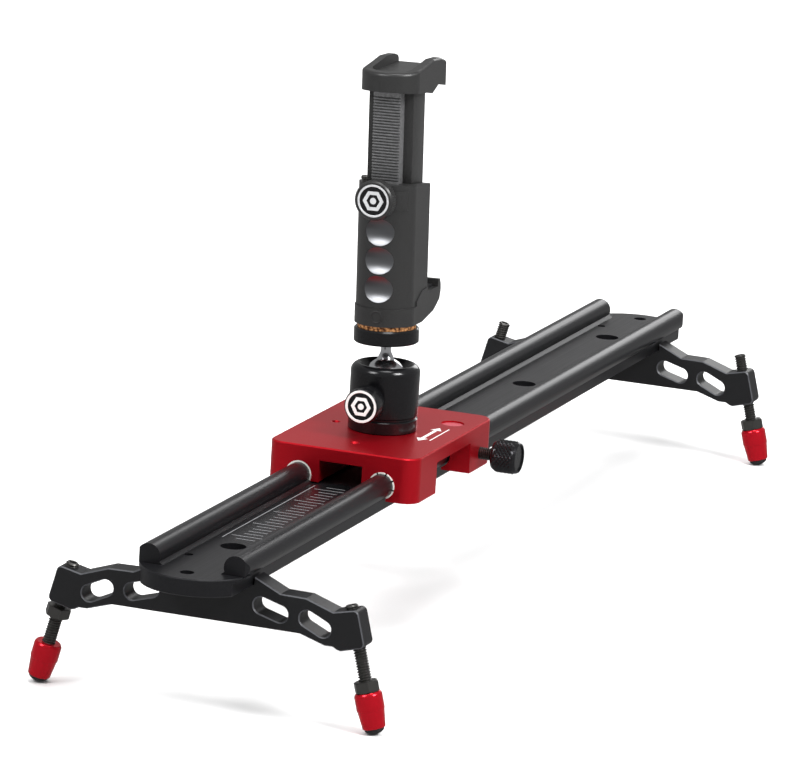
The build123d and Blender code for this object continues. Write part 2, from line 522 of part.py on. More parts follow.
# --- clamp knob: its plug presses on the column's rib ---
clamp_plug = tube(CLAMP, 2.45, 0, 8.5, 12.0)
keep(clamp_plug, "clamp_plug")
CLAMP_FACE = 22.6
clamp_screw = tube(CLAMP, 2.45, 0, 12.05, 19.0)
keep(clamp_screw, "clamp_screw")
clamp_knob = turned(CLAMP, (2.45, 15.0), (7.0, 15.0), (8.0, 16.4), (9.4, 17.0), (9.4, CLAMP_FACE - 1.0),
                    (8.6, CLAMP_FACE), (7.65, CLAMP_FACE), (7.65, CLAMP_FACE - 1.0), (0, CLAMP_FACE - 1.0),
                    (0, 19.05), (2.45, 19.05))
keep(clamp_knob, "clamp_knob")
clamp_knob_face = tube(CLAMP, 6.6, 0, CLAMP_FACE - 1.0, CLAMP_FACE - 0.1)
keep(clamp_knob_face, "clamp_knob_face")
clamp_knob_ring = tube(CLAMP, 7.65, 6.6, CLAMP_FACE - 1.0, CLAMP_FACE)
keep(clamp_knob_ring, "clamp_knob_ring")
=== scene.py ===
import json
from math import atan2, cos, pi, radians, sin, sqrt, tau

import bmesh
import bpy
from mathutils import Matrix, Vector


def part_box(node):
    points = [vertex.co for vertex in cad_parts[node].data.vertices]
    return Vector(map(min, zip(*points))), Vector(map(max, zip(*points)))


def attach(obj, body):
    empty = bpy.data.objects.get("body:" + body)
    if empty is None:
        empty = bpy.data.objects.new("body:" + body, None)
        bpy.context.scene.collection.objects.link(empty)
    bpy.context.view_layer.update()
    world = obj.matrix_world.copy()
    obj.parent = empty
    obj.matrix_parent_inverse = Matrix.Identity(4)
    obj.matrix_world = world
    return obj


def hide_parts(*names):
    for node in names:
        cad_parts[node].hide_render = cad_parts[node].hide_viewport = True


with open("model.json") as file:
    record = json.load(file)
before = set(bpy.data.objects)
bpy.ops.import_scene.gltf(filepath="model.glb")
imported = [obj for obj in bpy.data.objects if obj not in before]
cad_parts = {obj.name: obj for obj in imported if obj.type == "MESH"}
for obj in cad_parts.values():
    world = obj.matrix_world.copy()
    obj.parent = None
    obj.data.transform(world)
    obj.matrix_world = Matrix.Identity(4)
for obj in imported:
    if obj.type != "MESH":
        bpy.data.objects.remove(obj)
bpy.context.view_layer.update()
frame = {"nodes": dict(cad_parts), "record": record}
nodes = frame["nodes"]
MM = 0.001


# --- small tools for meshes; everything is shaped in millimetres and placed in metres ---

def seat(origin, axis, across):
    """The frame of a piece: its local z lies on an axis, its local x points across, in millimetres."""
    z = Vector(axis).normalized()
    x = Vector(across)
    x = (x - x.dot(z) * z).normalized()
    turn = Matrix((x, z.cross(x), z)).transposed().to_4x4()
    return Matrix.Scale(MM, 4) @ Matrix.Translation(origin) @ turn


def turned(outline, steps=72, ring=False):
    """A body turned on a lathe about local z, from (radius, height) points. A ring's outline is closed."""
    bm = bmesh.new()
    points = [bm.verts.new((radius, 0, height)) for radius, height in outline]
    edges = [bm.edges.new(pair) for pair in zip(points, points[1:])]
    if ring:
        edges.append(bm.edges.new((points[-1], points[0])))
    bmesh.ops.spin(bm, geom=points + edges, axis=(0, 0, 1), cent=(0, 0, 0), angle=tau, steps=steps,
                   use_merge=True)
    close_up(bm)
    return bm


def close_up(bm, distance=1e-4):
    """Merge doubles and turn every face outwards."""
    bmesh.ops.remove_doubles(bm, verts=bm.verts, dist=distance)
    bmesh.ops.recalc_face_normals(bm, faces=bm.faces)


def slab(outline, low, high):
    """A plate with a drawn outline, between two heights."""
    bm = bmesh.new()
    face = bm.faces.new([bm.verts.new((x, y, low)) for x, y in outline])
    raised = bmesh.ops.extrude_face_region(bm, geom=[face])["geom"]
    top = [part for part in raised if isinstance(part, bmesh.types.BMVert)]
    bmesh.ops.translate(bm, vec=(0, 0, high - low), verts=top)
    bmesh.ops.recalc_face_normals(bm, faces=bm.faces)
    return bm


def block(size, centre):
    """A rectangular block, from its three sizes and its middle."""
    bm = bmesh.new()
    bmesh.ops.create_cube(bm, size=1.0, matrix=Matrix.Translation(centre) @ Matrix.Diagonal((*size, 1)))
    return bm


def soften(bm, width, sharpest=30, segments=2):
    """Round every edge that is sharper than an angle."""
    edges = [e for e in bm.edges if len(e.link_faces) == 2 and e.calc_face_angle(0) > radians(sharpest)]
    bmesh.ops.bevel(bm, geom=edges, offset=width, segments=segments, profile=0.5, affect="EDGES",
                    material=-1, clamp_overlap=True)


def trimmed(bm, point, outward):
    """Cut off everything beyond a plane and close the cut."""
    cut = bmesh.ops.bisect_plane(bm, geom=bm.verts[:] + bm.edges[:] + bm.faces[:], plane_co=point,
                                 plane_no=outward, clear_outer=True, dist=1e-5)["geom_cut"]
    rim = [g for g in cut if isinstance(g, bmesh.types.BMEdge) and g.is_boundary]
    bmesh.ops.holes_fill(bm, edges=rim, sides=0)


def gather(target, *others):
    """Put several meshes into one."""
    for other in others:
        spare = bpy.data.meshes.new("spare")
        other.to_mesh(spare)
        other.free()
        target.from_mesh(spare)
        bpy.data.meshes.remove(spare)
    return target


def fit(name, bm, place, material, body, slot, *stands_for, smooth=35):
    """Finish a piece: place it, give it its material, and let it ride on its body."""
    bmesh.ops.transform(bm, matrix=place, verts=bm.verts)
    mesh = bpy.data.meshes.new(name)
    bm.to_mesh(mesh)
    bm.free()
    mesh.materials.append(material)
    mesh.shade_smooth()
    mesh.set_sharp_from_angle(angle=radians(smooth))
    piece = bpy.data.objects.new(name, mesh)
    bpy.context.scene.collection.objects.link(piece)
    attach(piece, body)
    if stands_for:
        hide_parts(*stands_for)
    return piece


# --- materials ---

def ink(code):
    """An sRGB hex colour as linear red, green, blue and alpha."""
    parts = [int(code[k:k + 2], 16) / 255 for k in (1, 3, 5)]
    return (*(c / 12.92 if c <= 0.04045 else ((c + 0.055) / 1.055) ** 2.4 for c in parts), 1.0)


def add(material, kind, settings=None, links=None):
    """Add one node, with its settings by socket or property name and its links by socket."""
    node = material.node_tree.nodes.new(kind)
    for key, value in (settings or {}).items():
        if isinstance(key, int) or key in node.inputs:
            node.inputs[key].default_value = value
        else:
            setattr(node, key, value)
    for key, output in (links or {}).items():
        material.node_tree.links.new(output, node.inputs[key])
    return node


def begin(name, colour, metallic, roughness, **more):
    """A new material with its shader; more settings use the socket's name with _ for a space."""
    material = bpy.data.materials.new(name)
    material.use_nodes = True
    material.node_tree.nodes.clear()
    settings = {"Base Color": ink(colour), "Metallic": metallic, "Roughness": roughness}
    settings.update({key.replace("_", " "): value for key, value in more.items()})
    shader = add(material, "ShaderNodeBsdfPrincipled", settings)
    add(material, "ShaderNodeOutputMaterial", links={"Surface": shader.outputs["BSDF"]})
    return material, shader, add(material, "ShaderNodeTexCoord").outputs["Object"]


def join(material, output, shader, socket):
    material.node_tree.links.new(output, shader.inputs[socket])


# Anodised aluminium extrusion, black, drawn through a die: a satin charcoal with faint lines along its
# length, a little duller and sharper from line to line. The lines are about 0.4 mm apart so that they show.
track_black, shader, place = begin("black_anodised_extrusion", "#1c1c1e", 0.5, 0.32)
along = add(track_black, "ShaderNodeMapping", {"Scale": (8, 2500, 2500)}, {"Vector": place})
lines = add(track_black, "ShaderNodeTexNoise", {"Scale": 1.0, "Detail": 3.0}, {"Vector": along.outputs[0]})
dull = add(track_black, "ShaderNodeMapRange", {"To Min": 0.24, "To Max": 0.4}, {"Value": lines.outputs[0]})
join(track_black, dull.outputs[0], shader, "Roughness")
tone = add(track_black, "ShaderNodeValToRGB", links={"Fac": lines.outputs[0]})
tone.color_ramp.elements[0].color = ink("#161618")
tone.color_ramp.elements[1].color = ink("#232326")
join(track_black, tone.outputs[0], shader, "Base Color")
relief = add(track_black, "ShaderNodeBump", {"Strength": 0.12, "Distance": 0.00004},
             {"Height": lines.outputs[0]})
join(track_black, relief.outputs[0], shader, "Normal")

# Anodised aluminium plate, black, milled and blasted: matte faces, with a painted highlight on the bevelled
# edges, which are coloured paler to stand in for the light they catch. The blast grain is 0.5 mm so that it
# shows.
bracket_black, shader, place = begin("black_anodised_milled", "#1f1f21", 0.3, 0.42)
grain = add(bracket_black, "ShaderNodeTexNoise", {"Scale": 2000.0, "Detail": 2.0}, {"Vector": place})
relief = add(bracket_black, "ShaderNodeBump", {"Strength": 0.18, "Distance": 0.00004},
             {"Height": grain.outputs[0]})
join(bracket_black, relief.outputs[0], shader, "Normal")
# The bevel faces, picked out by their normals, get the paler colour: a painted highlight.
normal = add(bracket_black, "ShaderNodeTexCoord").outputs["Normal"]
facing = add(bracket_black, "ShaderNodeSeparateXYZ", links={0: normal})
size = add(bracket_black, "ShaderNodeMath", {"operation": "ABSOLUTE"}, {0: facing.outputs["X"]})
painted_bevel_highlight = add(bracket_black, "ShaderNodeMath", {"operation": "COMPARE", 1: 0.707, 2: 0.16},
            {0: size.outputs[0]})
tone = add(bracket_black, "ShaderNodeValToRGB", links={"Fac": painted_bevel_highlight.outputs[0]})
tone.color_ramp.elements[0].color = ink("#18181a")
tone.color_ramp.elements[1].color = ink("#4b4c50")
join(bracket_black, tone.outputs[0], shader, "Base Color")

# Anodised aluminium, red, milled and fine blasted: a bright metallic red with a soft satin glow.
# The blast grain is 0.4 mm so that it shows.
red, shader, place = begin("red_anodised", "#bb0c1d", 0.72, 0.31)
grain = add(red, "ShaderNodeTexNoise", {"Scale": 2500.0, "Detail": 2.0}, {"Vector": place})
relief = add(red, "ShaderNodeBump", {"Strength": 0.12, "Distance": 0.00004}, {"Height": grain.outputs[0]})
join(red, relief.outputs[0], shader, "Normal")
dull = add(red, "ShaderNodeMapRange", {"To Min": 0.28, "To Max": 0.4}, {"Value": grain.outputs[0]})
join(red, dull.outputs[0], shader, "Roughness")

# Aluminium, turned and red anodised: glossier than the milled block, and painted a brighter red as a painted
# highlight that stands in for the light thrown up from the floor.
# The tool marks run round the cap, about 0.5 mm apart so that they show.
cap_red, shader, place = begin("red_anodised_turned", "#c71324", 0.68, 0.2)
marks = add(cap_red, "ShaderNodeTexNoise", {"Scale": 2000.0, "Detail": 2.0}, {"Vector": place})
dull = add(cap_red, "ShaderNodeMapRange", {"To Min": 0.15, "To Max": 0.26}, {"Value": marks.outputs[0]})
join(cap_red, dull.outputs[0], shader, "Roughness")

# Steel, black oxide, with a rolled thread: dark grey, slightly oily, with glints along its ridges.
steel, shader, place = begin("black_oxide_steel", "#575654", 0.9, 0.26)
smear = add(steel, "ShaderNodeTexNoise", {"Scale": 600.0, "Detail": 3.0}, {"Vector": place})
dull = add(steel, "ShaderNodeMapRange", {"To Min": 0.24, "To Max": 0.44}, {"Value": smear.outputs[0]})
join(steel, dull.outputs[0], shader, "Roughness")

# Aluminium, black hard anodised after fine turning: deep black with a clear satin gloss.
gloss, shader, place = begin("black_anodised_turned", "#131315", 0.25, 0.18)
rings = add(gloss, "ShaderNodeTexNoise", {"Scale": 500.0, "Detail": 2.0}, {"Vector": place})
dull = add(gloss, "ShaderNodeMapRange", {"To Min": 0.14, "To Max": 0.24}, {"Value": rings.outputs[0]})
join(gloss, dull.outputs[0], shader, "Roughness")

# Aluminium, diamond knurled and black anodised: near black, with a small glint on every point of the knurl.
knurl_black, shader, place = begin("black_anodised_knurled", "#2c2c2e", 0.75, 0.22)
wear = add(knurl_black, "ShaderNodeTexNoise", {"Scale": 800.0, "Detail": 2.0}, {"Vector": place})
dull = add(knurl_black, "ShaderNodeMapRange", {"To Min": 0.16, "To Max": 0.28}, {"Value": wear.outputs[0]})
join(knurl_black, dull.outputs[0], shader, "Roughness")

# Rubber, moulded, black: soft, dull, with a faint dusty bloom.
rubber, shader, place = begin("moulded_rubber", "#151516", 0.0, 0.62, Specular_IOR_Level=0.35)
bloom = add(rubber, "ShaderNodeTexNoise", {"Scale": 900.0, "Detail": 4.0}, {"Vector": place})
tone = add(rubber, "ShaderNodeValToRGB", links={"Fac": bloom.outputs[0]})
tone.color_ramp.elements[0].color = ink("#101011")
tone.color_ramp.elements[1].color = ink("#222224")
join(rubber, tone.outputs[0], shader, "Base Color")

# Acetal, machined, natural white: slightly waxy off-white with a soft sheen.
acetal, shader, place = begin("white_acetal", "#dcdbd6", 0.0, 0.38, IOR=1.48, Subsurface_Weight=0.1,
                              Subsurface_Radius=(0.001, 0.001, 0.001))
mottle = add(acetal, "ShaderNodeTexNoise", {"Scale": 700.0}, {"Vector": place})
dull = add(acetal, "ShaderNodeMapRange", {"To Min": 0.32, "To Max": 0.46}, {"Value": mottle.outputs[0]})
join(acetal, dull.outputs[0], shader, "Roughness")

# Steel, chrome plated and fine polished: a bright metal whose reflections are softly blurred.
chrome, shader, place = begin("polished_chrome", "#d9dadd", 1.0, 0.18)
haze = add(chrome, "ShaderNodeTexNoise", {"Scale": 400.0, "Detail": 2.0}, {"Vector": place})
dull = add(chrome, "ShaderNodeMapRange", {"To Min": 0.14, "To Max": 0.24}, {"Value": haze.outputs[0]})
join(chrome, dull.outputs[0], shader, "Roughness")

# Steel, stamped and satin polished: the finger dimples go from dark grey to a broad soft highlight.
satin_steel, shader, place = begin("satin_steel", "#808184", 1.0, 0.33)
brush = add(satin_steel, "ShaderNodeMapping", {"Scale": (2500, 120, 2500)}, {"Vector": place})
lines = add(satin_steel, "ShaderNodeTexNoise", {"Scale": 1.0, "Detail": 2.0}, {"Vector": brush.outputs[0]})
dull = add(satin_steel, "ShaderNodeMapRange", {"To Min": 0.29, "To Max": 0.4}, {"Value": lines.outputs[0]})
join(satin_steel, dull.outputs[0], shader, "Roughness")

# Hot stamped foil, silver, on the clamp knob: pale metal with a soft broad glow.
foil, shader, place = begin("stamped_foil", "#d2d3d5", 0.3, 0.36)
creases = add(foil, "ShaderNodeTexNoise", {"Scale": 900.0}, {"Vector": place})
dull = add(foil, "ShaderNodeMapRange", {"To Min": 0.28, "To Max": 0.44}, {"Value": creases.outputs[0]})
join(foil, dull.outputs[0], shader, "Roughness")

# Cork, pressed granules with rubber binder: tan granules of 1 to 2 mm with dark gaps and a crumbly edge.
cork, shader, place = begin("pressed_cork", "#b8743f", 0.0, 0.85, Specular_IOR_Level=0.2)
granules = add(cork, "ShaderNodeTexVoronoi", {"Scale": 800.0}, {"Vector": place})
tone = add(cork, "ShaderNodeValToRGB", links={"Fac": granules.outputs["Distance"]})
tone.color_ramp.elements[0].color = ink("#e0a068")
tone.color_ramp.elements[0].position = 0.1
tone.color_ramp.elements[1].color = ink("#4a2a16")
tone.color_ramp.elements[1].position = 0.75
join(cork, tone.outputs[0], shader, "Base Color")
relief = add(cork, "ShaderNodeBump", {"Strength": 0.8, "Distance": 0.0004, "invert": True},
             {"Height": granules.outputs["Distance"]})
join(cork, relief.outputs[0], shader, "Normal")

# ABS, injection moulded in a spark eroded mould: dark grey with a fine even grain of 0.4 mm, semi matt.
abs_grey, shader, place = begin("moulded_abs", "#252525", 0.0, 0.36, IOR=1.53)
grain = add(abs_grey, "ShaderNodeTexNoise", {"Scale": 2500.0, "Detail": 2.0}, {"Vector": place})
relief = add(abs_grey, "ShaderNodeBump", {"Strength": 0.2, "Distance": 0.00005}, {"Height": grain.outputs[0]})
join(abs_grey, relief.outputs[0], shader, "Normal")
tone = add(abs_grey, "ShaderNodeValToRGB", links={"Fac": grain.outputs[0]})
tone.color_ramp.elements[0].color = ink("#1e1e1e")
tone.color_ramp.elements[1].color = ink("#2c2c2c")
join(abs_grey, tone.outputs[0], shader, "Base Color")

# ABS, moulded, on the serrated rib of the column by the clamp: painted a lighter grey than the faces round
# it, as a painted highlight for the sheen that its ridges catch.
abs_painted_sheen, shader, place = begin("painted_sheen_abs", "#56565a", 0.0, 0.42, IOR=1.53)
rib_mottle = add(abs_painted_sheen, "ShaderNodeTexNoise", {"Scale": 700.0, "Detail": 3.0}, {"Vector": place})
tone = add(abs_painted_sheen, "ShaderNodeValToRGB", links={"Fac": rib_mottle.outputs[0]})
tone.color_ramp.elements[0].color = ink("#3c3c3d")
tone.color_ramp.elements[1].color = ink("#757576")
join(abs_painted_sheen, tone.outputs[0], shader, "Base Color")

# Brass, turned: warm yellow metal inside the holder.
brass, shader, place = begin("turned_brass", "#b9924a", 1.0, 0.3)
smear = add(brass, "ShaderNodeTexNoise", {"Scale": 500.0}, {"Vector": place})
dull = add(brass, "ShaderNodeMapRange", {"To Min": 0.24, "To Max": 0.4}, {"Value": smear.outputs[0]})
join(brass, dull.outputs[0], shader, "Roughness")

# Enamel, pad printed, white: thin, slightly uneven, semi gloss.
white_enamel, shader, place = begin("white_enamel", "#f2f2f0", 0.0, 0.35)
cover = add(white_enamel, "ShaderNodeTexNoise", {"Scale": 900.0}, {"Vector": place})
dull = add(white_enamel, "ShaderNodeMapRange", {"To Min": 0.28, "To Max": 0.45}, {"Value": cover.outputs[0]})
join(white_enamel, dull.outputs[0], shader, "Roughness")

# Disc of ABS, moulded in dusky red, pressed into the carriage's recess: a duller, pinker red than the block.
disc_red, shader, place = begin("moulded_red_abs", "#b5404c", 0.0, 0.4)
speck = add(disc_red, "ShaderNodeTexNoise", {"Scale": 1200.0}, {"Vector": place})
tone = add(disc_red, "ShaderNodeValToRGB", links={"Fac": speck.outputs[0]})
tone.color_ramp.elements[0].color = ink("#a02f3c")
tone.color_ramp.elements[1].color = ink("#c4606a")
join(disc_red, tone.outputs[0], shader, "Base Color")

# Laser engraving in black anodising: bare pale metal in hair lines.
engraved, shader, place = begin("laser_marked", "#9a9b9d", 0.4, 0.5)
cover = add(engraved, "ShaderNodeTexNoise", {"Scale": 1500.0}, {"Vector": place})
tone = add(engraved, "ShaderNodeValToRGB", links={"Fac": cover.outputs[0]})
tone.color_ramp.elements[0].color = ink("#77787b")
tone.color_ramp.elements[1].color = ink("#b4b5b8")
join(engraved, tone.outputs[0], shader, "Base Color")

FINISHES = {"black_anodised": track_black, "black_bracket": bracket_black, "red_anodised": red,
            "black_steel": steel, "gloss_black": gloss, "rubber": rubber, "liner": acetal,
            "white_plastic": white_enamel, "chrome": chrome, "cork": cork, "holder_plastic": abs_grey,
            "brass": brass, "white_paint": white_enamel, "black_disc": gloss}
for part in frame["record"]["subparts"]:
    for slot in nodes[part["node"]].material_slots:
        slot.material = FINISHES[part["material_slot"]]
nodes["top_insert"].material_slots[0].material = disc_red

# --- frames that the pieces are built on ---
LEAN = radians(1.8)
HEAD_X, BALL_Z, LOCK_Z = -73.0, 108.0, 100.6
holder_seat = seat((HEAD_X, 0, BALL_Z), (0, sin(LEAN), cos(LEAN)), (1, 0, 0))
CLAMP_HEIGHT = 87.1
clamp_seat = seat(Vector((HEAD_X, 0, BALL_Z)) + CLAMP_HEIGHT * Vector((0, sin(LEAN), cos(LEAN))),
                  (-1, 0, 0), (0, cos(LEAN), -sin(LEAN)))
lock_seat = seat((HEAD_X, 0, LOCK_Z), (-1, 0, 0), (0, 1, 0))
brake_seat = seat((-38.0, 0, 70.7), (0, -1, 0), (1, 0, 0))


def thread(radius, pitch, low, high, depth=0.7, steps=24):
    """A screw thread: a zigzag swept once round while it climbs one pitch, cut flat at both ends."""
    bm = bmesh.new()
    ridges = int((high - low) / pitch) + 3
    points = []
    for k in range(ridges):
        base = low - 1.5 * pitch + k * pitch
        points += [bm.verts.new((r, 0, base + share * pitch)) for r, share in
                   ((radius - depth, 0), (radius - depth, 0.15), (radius, 0.5), (radius, 0.65))]
    points.append(bm.verts.new((radius - depth, 0, low - 1.5 * pitch + ridges * pitch)))
    edges = [bm.edges.new(pair) for pair in zip(points, points[1:])]
    bmesh.ops.spin(bm, geom=points + edges, axis=(0, 0, 1), cent=(0, 0, 0), angle=tau, steps=steps,
                   dvec=(0, 0, pitch / steps))
    bmesh.ops.remove_doubles(bm, verts=bm.verts, dist=1e-3)
    trimmed(bm, (0, 0, low), (0, 0, -1))
    trimmed(bm, (0, 0, high), (0, 0, 1))
    bmesh.ops.recalc_face_normals(bm, faces=bm.faces)
    return bm


def hex_nut(flats, bore, low, high):
    """A hexagon nut: a turned ring with 30 degree corners, cut to six flats."""
    corner = flats / sqrt(3) * 1.02
    drop = (corner - flats / 2 * 0.97) * 0.577
    bm = turned([(bore, low), (flats / 2 * 0.97, low), (corner, low + drop), (corner, high - drop),
                 (flats / 2 * 0.97, high), (bore, high)], steps=72, ring=True)
    for k in range(6):
        out = Vector((cos(k * pi / 3), sin(k * pi / 3), 0))
        cut = bmesh.ops.bisect_plane(bm, geom=bm.verts[:] + bm.edges[:] + bm.faces[:],
                                     plane_co=out * flats / 2, plane_no=out, clear_outer=True,
                                     dist=1e-5)["geom_cut"]
        bmesh.ops.contextual_create(bm, geom=[g for g in cut if isinstance(g, bmesh.types.BMEdge)])
    bmesh.ops.recalc_face_normals(bm, faces=bm.faces)
    return bm


# --- screw feet ---
FOOT_X, FOOT_Y, TIP_R, FAR_LIFT = 278.0, 78.3, 6.0, 6.4
FOOT_TILT = radians(14.5)
ROD_R, ROD_FOOT, ROD_TOP = 2.95, 3.6, 51.6
NEAR_LEFT_NUT, NUT_HEIGHT = 25.6, 4.95
ROD_PITCH = 1.2             # a little coarser than a 6 mm rod has, so that the ridges show
for end_name, end in (("near", -1), ("far", 1)):
    for side_name, side in (("left", 1), ("right", -1)):
        foot = f"{end_name}_{side_name}"
        up = Vector((0, -side * sin(FOOT_TILT), cos(FOOT_TILT)))
        lift = FAR_LIFT if end > 0 else 0.0
        foot_seat = seat(Vector((end * FOOT_X, side * FOOT_Y, TIP_R)) + up * lift, up, (1, 0, 0))
        body = f"{foot}_foot_screw"
        rod = thread(ROD_R, ROD_PITCH, ROD_FOOT, ROD_TOP - 0.9, depth=0.55)
        tip = turned([(1.5, ROD_TOP - 0.9), (1.5, ROD_TOP - 0.15), (1.65, ROD_TOP), (ROD_R - 0.6, ROD_TOP),
                      (ROD_R - 0.02, ROD_TOP - 0.55), (ROD_R - 0.02, ROD_TOP - 0.9)], steps=36, ring=True)
        fit(f"{foot}_rod", gather(rod, tip), foot_seat, steel, body, "black_steel", f"{foot}_foot_rod")
        cap = turned([(0.0, 0.15), (4.4, 0.15), (4.4, -3.2), (4.85, -3.2), (5.05, -3.0), (5.97, 4.7),
                      (6.0, 4.8),
                      (6.15, 4.95), (6.2, 5.1), (6.2, 11.4), (6.1, 11.75), (5.6, 12.65), (5.4, 12.8),
                      (3.0, 12.8), (3.0, 3.55), (0.0, 3.55)])
        fit(f"{foot}_cap", cap, foot_seat, cap_red, body, "red_anodised", f"{foot}_foot_cap")
        loose = foot == "near_left"
        nut_low = NEAR_LEFT_NUT if loose else 12.85
        fit(f"{foot}_nut", hex_nut(10.0, 3.0, nut_low, nut_low + NUT_HEIGHT), foot_seat, steel,
            "track" if loose else body, "black_steel", f"{foot}_lock_nut", smooth=25)

# --- brake knob and its screw ---
def knurled(outline, around, rows, radius, low, high, peak):
    """A knob with a diamond knurl: two sets of crossing grooves that leave small pyramids."""
    bm = bmesh.new()
    steps = 2 * around
    pitch = (high - low) / (2 * rows)
    path = [(r, h) for r, h in outline if h <= low]
    knurl = [(radius, low + k * pitch) for k in range(2 * rows + 1)]
    path += knurl + [(r, h) for r, h in outline if h >= high]
    bm = turned(path, steps=steps)
    for vert in bm.verts:
        row = (vert.co.z - low) / pitch
        column = atan2(vert.co.y, vert.co.x) / tau * steps
        on_knurl = 0.5 < row < 2 * rows - 0.5 and abs(Vector(vert.co.xy).length - radius) < 1e-3
        if on_knurl and (round(row) + round(column)) % 2:
            vert.co.xy = vert.co.xy * (radius + peak) / radius
    quads = [f for f in bm.faces if low - 1e-3 < f.calc_center_median().z < high + 1e-3
             and f.calc_center_median().xy.length > radius - 0.2]
    bmesh.ops.triangulate(bm, faces=quads, quad_method="SHORT_EDGE")
    return bm


BRAKE_SCREW_R, BRAKE_PITCH = 2.95, 1.0
KNOB_LOW, KNOB_HIGH = 43.4, 56.0
KNURL_AROUND, KNURL_ROWS, KNURL_R, KNURL_PEAK = 21, 5, 7.4, 0.5
brake_knob = knurled([(0.0, KNOB_LOW), (6.0, KNOB_LOW), (6.4, KNOB_LOW + 0.15), (7.3, KNOB_LOW + 1.4),
                      (7.4, KNOB_LOW + 1.6), (7.4, KNOB_HIGH - 1.5), (7.4, KNOB_HIGH - 1.2),
                      (6.9, KNOB_HIGH - 0.1), (6.7, KNOB_HIGH), (6.35, KNOB_HIGH), (6.2, KNOB_HIGH - 0.15),
                      (6.2, KNOB_HIGH - 0.7), (0.0, KNOB_HIGH - 0.7)],
                     KNURL_AROUND, KNURL_ROWS, KNURL_R, KNOB_LOW + 1.7, KNOB_HIGH - 1.6, KNURL_PEAK)
fit("brake_knob_knurled", brake_knob, brake_seat, knurl_black, "brake_knob", "gloss_black", "brake_knob",
    smooth=12)
fit("brake_screw_thread", thread(BRAKE_SCREW_R, BRAKE_PITCH, 30.1, 43.6), brake_seat, steel, "brake_knob",
    "black_steel", "brake_screw")


def ribbed(outline, around, radius, low, high, depth):
    """A knob with fine straight ribs along its rim."""
    bm = turned(outline, steps=2 * around)
    for vert in bm.verts:
        column = round(atan2(vert.co.y, vert.co.x) / tau * 2 * around)
        if column % 2 and low < vert.co.z < high and abs(vert.co.xy.length - radius) < 0.02:
            vert.co.xy = vert.co.xy * (radius - depth) / radius
    return bm


# --- ball head lock knob ---
LOCK_FACE = 30.4
lock_rim = ribbed([(0.0, 17.2), (5.4, 17.2), (5.6, 17.4), (5.6, 20.0), (7.6, 20.4), (8.2, 21.0), (8.4, 21.5),
                   (8.4, LOCK_FACE - 1.0), (8.15, LOCK_FACE - 0.4), (7.95, LOCK_FACE - 0.1), (7.7, LOCK_FACE),
                   (7.66, LOCK_FACE), (7.66, LOCK_FACE - 1.0), (0.0, LOCK_FACE - 1.0)],
                  60, 8.4, 21.0, LOCK_FACE - 0.9, 0.18)
fit("lock_knob_rim", lock_rim, lock_seat, gloss, "lock_knob", "gloss_black", "lock_knob")
lock_ring = turned([(6.42, LOCK_FACE - 0.95), (7.62, LOCK_FACE - 0.95), (7.62, LOCK_FACE - 0.1),
                    (7.5, LOCK_FACE), (6.55, LOCK_FACE), (6.42, LOCK_FACE - 0.1)], ring=True)
fit("lock_knob_white_ring", lock_ring, lock_seat, white_enamel, "lock_knob", "white_paint",
    "lock_knob_ring")


def emblem(scale, low, high):
    """A plain mark for a knob: the outline of a hexagon nut with a dot in it."""
    outer = turned([(2.5 * scale, low), (3.9 * scale, low), (3.9 * scale, high), (2.5 * scale, high)],
                   steps=6, ring=True)
    dot = turned([(0, low), (1.15 * scale, low), (1.15 * scale, high), (0, high)], steps=24)
    return gather(outer, dot)


fit("lock_knob_mark", emblem(1.25, LOCK_FACE - 0.15, LOCK_FACE - 0.02), lock_seat, white_enamel, "lock_knob",
    "white_paint")

# --- holder clamp knob ---
CLAMP_FACE = 22.6
clamp_rim = ribbed([(0.0, 15.0), (6.9, 15.0), (7.1, 15.1), (8.0, 16.4), (9.2, 16.9), (9.4, 17.1),
                    (9.4, CLAMP_FACE - 1.1), (9.2, CLAMP_FACE - 0.8), (8.7, CLAMP_FACE - 0.15),
                    (8.5, CLAMP_FACE), (7.66, CLAMP_FACE), (7.66, CLAMP_FACE - 1.0), (0.0, CLAMP_FACE - 1.0)],
                   48, 9.4, 16.95, CLAMP_FACE - 0.9, 0.4)
fit("clamp_knob_rim", clamp_rim, clamp_seat, abs_grey, "clamp_knob", "holder_plastic", "clamp_knob",
    smooth=25)
clamp_ring = turned([(6.62, CLAMP_FACE - 0.95), (7.62, CLAMP_FACE - 0.95), (7.62, CLAMP_FACE - 0.1),
                     (7.5, CLAMP_FACE), (6.75, CLAMP_FACE), (6.62, CLAMP_FACE - 0.1)], ring=True)
fit("clamp_knob_silver_ring", clamp_ring, clamp_seat, foil, "clamp_knob", "white_paint", "clamp_knob_ring")
fit("clamp_knob_mark", emblem(1.3, CLAMP_FACE - 0.15, CLAMP_FACE - 0.02), clamp_seat, foil, "clamp_knob",
    "white_paint")

# --- ball and stem ---
BALL_R = 10.1
ball = turned([(BALL_R * sin(radians(t)), -BALL_R * cos(radians(t))) for t in range(0, 181, 5)], steps=72)
fit("ball_polished", ball, seat((HEAD_X, 0, BALL_Z), (0, 0, 1), (1, 0, 0)), chrome, "ball", "chrome", "ball")
STEM_LINE = ((4.15, 9.35), (3.9, 9.7), (3.6, 10.4), (3.1, 11.5), (2.6, 12.6), (2.4, 13.4),
             (2.38, 14.2), (2.5, 15.4), (2.75, 17.0), (2.95, 17.85))
stem = turned([(0.0, 10.15), (3.0, 9.66), *STEM_LINE, (0.0, 17.85)], steps=48)
fit("stem_polished", stem, holder_seat, chrome, "top_plate", "chrome", "ball_stem")

